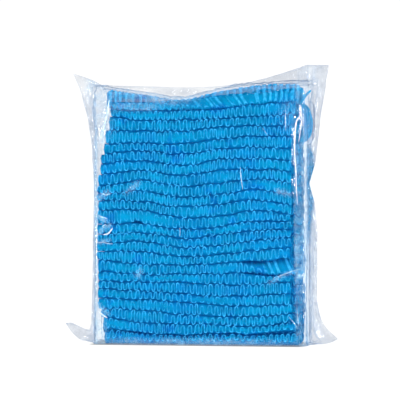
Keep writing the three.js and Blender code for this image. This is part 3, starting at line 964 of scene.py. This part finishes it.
def outward_normals(points, side):
    """The unit normals of a grid of points, away from the weld's plane at its middle."""
    normal = np.cross(np.gradient(points, axis=1), np.gradient(points, axis=0))
    normal /= np.maximum(np.linalg.norm(normal, axis=-1, keepdims=True), 1e-12)
    middle = normal[len(points) // 2, points.shape[1] // 2]
    return normal * math.copysign(1, middle[1] * side)


def weld_wave(points):
    """How far the weld's plane wanders in y, which both halves of the bag share."""
    x, z = points[..., 0], points[..., 2]
    beyond = np.maximum(np.abs(x - STACK_MIDDLE * MM) - 110 * MM, 0) / (14 * MM)
    above = np.maximum(z - 262 * MM, 0) / (14 * MM)
    free = np.clip(np.maximum(beyond, above), 0, 2.2)
    wave = np.sin(z * 95 + 0.7) + 0.6 * np.sin(z * 213 + 2.1 + x * 9) + 0.7 * np.sin(x * 71 + 1.0)
    return 1.5 * MM * free * wave


def block_push(points, low, high, radius, gap=0.8 * MM):
    """Moves points that are nearer than gap to a round-edged block out to it."""
    low, high, radius = np.array(low) * MM, np.array(high) * MM, radius * MM
    middle, half = (low + high) / 2, (high - low) / 2
    away = points - middle
    past = np.abs(away) - (half - radius)
    outside = np.maximum(past, 0)
    length = np.linalg.norm(outside, axis=-1)
    distance = length + np.minimum(past.max(-1), 0) - radius
    hit = distance < gap
    round_edge = outside / np.maximum(length, 1e-9)[..., None]
    direction = np.where(length[..., None] > 1e-9, round_edge, np.eye(3)[past.argmax(-1)])
    push = direction * np.where(away < 0, -1.0, 1.0) * (gap - distance)[..., None]
    points[hit] += push[hit]


def hold_off(points, side):
    """Keeps the film off the caps and the floor, and on its own side of the weld."""
    for block in FRONT_BLOCKS + INNER_BLOCKS if side < 0 else BACK_BLOCKS:
        block_push(points, *block)
    crown = crown_room().high(points[..., 0]) + 1.0 * MM
    low, high = np.array(CROWN) * MM
    on_top = ((points > low) & (points < high)).all(-1)
    points[..., 2] = np.where(on_top, np.maximum(points[..., 2], crown), points[..., 2])
    weld = weld_wave(points)
    points[..., 1] = side * np.maximum(side * (points[..., 1] - weld), 0.45 * MM) + weld
    points[..., 2] = np.maximum(points[..., 2], 0.4 * MM)


def spring_sets(points, slack):
    """Sets of springs that share no point: their two ends, rest lengths, stiffness, long or not."""
    rows, columns = (np.arange(count) for count in points.shape[:2])
    for down, right, stiff in SPRINGS:
        long = 2 in (down, right)
        for phase in range(2):
            row, column = rows[:len(rows) - down], columns[max(0, -right):len(columns) - max(0, right)]
            if down:
                row = row[row // down % 2 == phase]
            else:
                column = column[column // right % 2 == phase]
            first, second = np.ix_(row, column), np.ix_(row + down, column + right)
            length = np.linalg.norm(points[second] - points[first], axis=-1)
            scale = ((slack[first] + slack[second]) / 2)[..., [bool(right), bool(down)]].mean(-1)
            yield first, second, length * scale * (LONG_SPRING if long else 1.0), stiff, long


def pull(points, free, first, second, rest, stiff, only_push):
    """Moves the two ends of each spring in a set towards their rest distance."""
    gap = points[second] - points[first]
    length = np.linalg.norm(gap, axis=-1)
    error = (length - rest) / np.maximum(length, 1e-9)
    if only_push:
        error = np.minimum(error, 0)
    weight = np.maximum(free[first] + free[second], 1)
    move = gap * (stiff * error / weight)[..., None]
    points[first] += move * free[first][..., None]
    points[second] -= move * free[second][..., None]


def border(shape):
    """True along the four sides of a grid."""
    edge = np.ones(shape, bool)
    edge[1:-1, 1:-1] = False
    return edge


def relax_film(points, slack, side):
    """Lets the film buckle: it is a little larger than its room, and lies on the caps."""
    free = 1.0 - border(points.shape[:2])
    springs = list(spring_sets(points, slack))
    start = points.copy()
    for _ in range(RELAX_STEPS):
        for spring_set in springs:
            pull(points, free, *spring_set)
        points += (start - points) * STAY * free[..., None]
        hold_off(points, side)


def crease(points, normal, x0, z0, x1, z1, half_width, height):
    """Raises a ridge of the film between two places on its face."""
    start, end = np.array([x0, z0]) * MM, np.array([x1, z1]) * MM
    along = end - start
    length = np.linalg.norm(along)
    along = along / length
    gap = points[..., [0, 2]] - start
    s = (gap @ along) / length
    d = np.abs(gap @ np.array([-along[1], along[0]])) / (half_width * MM)
    rise = np.sin(math.pi * np.clip(s, 0, 1)) ** 0.7 * np.clip(1 - d, 0, 1) ** 1.3
    points += normal * (height * MM * rise)[..., None]


def cloud(points, middle_x, middle_z, half_length, half_width, angle, strength):
    """How strongly one place on the film's face tells at each point."""
    x, z = points[..., 0] / MM - middle_x, points[..., 2] / MM - middle_z
    turn = math.radians(angle)
    s = (x * math.cos(turn) + z * math.sin(turn)) / half_length
    d = (z * math.cos(turn) - x * math.sin(turn)) / half_width
    return strength * np.exp(-(s ** 4) - d ** 2)


def crumple(grid, side, rng):
    """Shoves the film out of its smooth shape, more where it is loose, and gives its springs their slack."""
    shape = grid.shape[:2]
    x, z = np.abs(grid[..., 0] - STACK_MIDDLE * MM), grid[..., 2]
    fin = ramp(x - 106 * MM, 6 * MM)
    roof, calm = ramp(z - 252 * MM, 10 * MM), 1 - cloud(grid, *CALM_TOP)
    foot = ramp(12 * MM - z, 10 * MM)
    corner = sum(cloud(grid, *place) for place in CRUMPLED_CORNERS)
    loose = np.clip(np.maximum(np.maximum(fin, roof * calm), 0.6 * foot) + corner, 0, 1.3)
    patch = ramp(soft_field(rng, shape, 12, 12) * 1.5 - 0.3)
    slack = 1 + np.stack([0.003 + 0.010 * patch + 0.030 * loose, 0.003 + 0.008 * patch + 0.022 * loose], -1)
    long_folds = soft_field(rng, shape, 16, 2.6) * fin + soft_field(rng, shape, 3, 9) * roof * calm
    creases = soft_field(rng, shape, 3.5, 3.0) + 0.6 * soft_field(rng, shape, 2, 2)
    shove = 0.25 * soft_field(rng, shape, 4, 4) * loose + 1.15 * long_folds + 1.1 * corner * creases
    points = grid + outward_normals(grid, side) * (MM * shove)[..., None]
    edge = border(shape)
    points[edge] = grid[edge]
    points[edge, 1] = (weld_wave(grid) + side * 0.15 * MM)[edge]
    hold_off(points, side)
    return points, slack


def side_frost_and_highlights(x, z, depth, right, rng):
    """The streaky white of the film beside the caps, partly crumpled film and partly painted highlight,
    weaker on the bag's flanks.
    """
    streaks = 0.5 + 0.5 * soft_field(rng, FINE, 30, 3) + 0.3 * soft_field(rng, FINE, 9, 2)
    share = np.where(right, 1.2 * np.interp(z, *SIDE_FROST_AND_HIGHLIGHTS), 0.4)
    share = share * (1 - 0.75 * (ramp(depth - 5, 4) * ramp(27 - depth, 6)))
    begins = np.where(right, 98.5, 105)
    return share * ramp(x - begins, 3) * ramp(130 - x, 14) * np.clip(streaks, 0.3, 1.1)


def film_looks(points, side, rng):
    """How hazy the film is at each point, how frosted, where glints are painted on it, and where the caps'
    blue is painted on it as light from behind.
    """
    x, z = np.abs(points[..., 0] - STACK_MIDDLE * MM) / MM, points[..., 2] / MM
    depth, right = np.abs(points[..., 1]) / MM, points[..., 0] > 0
    haze = ramp(x - 107, 9) + ramp(z - 266, 9) * (x < 112) - cloud(points, *CLEAR_EAR)
    for place in HAZY_PLACES:
        haze = np.maximum(haze, cloud(points, *place))
    frost = side_frost_and_highlights(x, z, depth, right, rng)
    if side < 0:
        front = ramp(depth - 12, 12) * ramp(0.75 + 0.5 * soft_field(rng, FINE, 4, 4))
        for place in FRONT_FROST_AND_GLINTS:
            frost = np.maximum(frost, cloud(points, *place) * front)
    else:
        frost = np.maximum(frost, 0.12 * ramp(soft_field(rng, FINE, 16, 16) * 2.2 - 1.2))
    # Painted light from the caps: their blue on the creased film at the right, carried by the deep
    # attribute.
    painted_blue_mask = right * ramp(x - 106, 3) * ramp(np.interp(z, *CAUGHT_BLUE) - x, 2.5) * ramp(29 - depth, 10)
    return {"haze": 0.02 + 0.8 * ramp(haze), "frost": np.maximum(frost, 0.6 * painted_blue_mask), "deep": painted_blue_mask}


def pinched_fold(film_points, half_width, white, way):
    """A sharp fold standing on the film's face: a flat tube that narrows to both its ends, painted white
    along it as a glint.
    """
    around = 8
    x, z = path_through(way, np.linspace(0, 1, 33))
    flat = film_points.reshape(-1, 3)
    gap = (flat[:, 0] - x[:, None]) ** 2 + (flat[:, 2] - z[:, None]) ** 2
    near = np.argsort(gap, axis=1)[:, :6]
    weight = 1 / (np.take_along_axis(gap, near, 1) + 1e-9)
    y = (flat[near, 1] * weight).sum(1) / weight.sum(1) - 0.15 * MM
    line = np.stack([x, y, z], -1)
    along = np.gradient(line, axis=0)
    aside = np.stack([-along[:, 2], np.zeros(len(x)), along[:, 0]], -1)
    aside /= np.linalg.norm(aside, axis=1, keepdims=True)
    taper = np.sin(math.pi * np.linspace(0.03, 0.97, len(x))) ** 0.6
    taper = taper * (0.8 + 0.2 * np.sin(np.arange(len(x)) * 1.1))
    turn = math.tau * np.arange(around)[:, None, None] / around
    out = np.array([0.0, -0.5, 0.0])
    points = line + (aside * np.cos(turn) + out * np.sin(turn)) * (half_width * MM * taper)[:, None]
    # Painted glint: the fold is whitened all along.
    return tube(points, frost=np.full(points.shape[:2], white))


def film_shell(points, looks, side):
    """A closed thin wall behind the film's outer skin."""
    rows, columns = points.shape[:2]
    inner = points - outward_normals(points, side) * FILM_WALL
    index = np.arange(rows * columns).reshape(rows, columns)
    skin = np.stack([index[:-1, :-1], index[:-1, 1:], index[1:, 1:], index[1:, :-1]], -1).reshape(-1, 4)
    back = skin[:, ::-1] + rows * columns
    loop = np.concatenate([index[0, :-1], index[:-1, -1], index[-1, :0:-1], index[:0:-1, 0]])
    after = np.roll(loop, -1)
    rim = np.stack([after, loop, loop + rows * columns, after + rows * columns], -1)
    both = np.concatenate([points, inner]).reshape(-1, 3)
    doubled = {key: np.tile(value.ravel(), 2) for key, value in looks.items()}
    return both, np.concatenate([skin, back, rim]), doubled


def make_film_half(node, side, film):
    """One half of the bag: the CAD's film, crumpled and laid on the caps, and its sharp folds."""
    rng = seeded(900 + side)
    grid = resampled(film_controls(side), COARSE[0], 0, 2, UP_WEIGHT)
    grid = resampled(grid, COARSE[1], 1, 0, ACROSS_WEIGHT)
    points, slack = crumple(grid, side, rng)
    relax_film(points, slack, side)
    points = refined(refined(points, FINE[0], 0), FINE[1], 1)
    if side < 0:
        normal = outward_normals(points, side)
        for line in FRONT_CREASES:
            crease(points, normal, *line)
    hold_off(points[1:-1, 1:-1], side)
    folds = [pinched_fold(points, *fold) for fold in PINCHED_FOLDS] if side < 0 else []
    shell = film_shell(points, film_looks(points, side, rng), side)
    piece = build_mesh(f"clear_{node}", [shell, *folds], film)
    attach(piece, "root")
    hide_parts(node)


# ---- stage


def make_floor():
    bpy.ops.mesh.primitive_plane_add(size=FLOOR_SIZE)
    floor = bpy.context.object
    floor.name = "floor"
    floor.data.materials.append(make_material("floor_white", white_floor))


def make_lamp(name, place, width, height, power, unseen_by):
    data = bpy.data.lights.new(name, "AREA")
    data.shape = "RECTANGLE"
    data.size, data.size_y = width, height
    data.energy = power
    lamp = add_object(name, data)
    lamp.location = place
    lamp.rotation_euler = (Vector(place) - LAMP_AIM).to_track_quat("Z", "Y").to_euler()
    if unseen_by:
        setattr(lamp, f"visible_{unseen_by}", False)


def make_world():
    world = bpy.data.worlds.new("world")
    bpy.context.scene.world = world
    world.use_nodes = True
    make = node_maker(world.node_tree)
    make("OutputWorld", {"Surface": white_world(make, make("TexCoord", output="Generated"))})


make_camera()
cap_fabric = make_material("cap_fabric", fabric)
bag_film = make_material("bag_film", film)
for make_caps in (make_front_caps, make_back_caps, make_inner_caps, make_top_caps):
    make_caps(cap_fabric)
make_film_half("bag_front_film", -1, bag_film)
make_film_half("bag_back_film", 1, bag_film)
make_floor()
for lamp in LAMPS:
    make_lamp(*lamp)
make_world()
bpy.context.scene.view_settings.view_transform = "Standard"
bpy.context.scene.cycles.transparent_max_bounces = 32
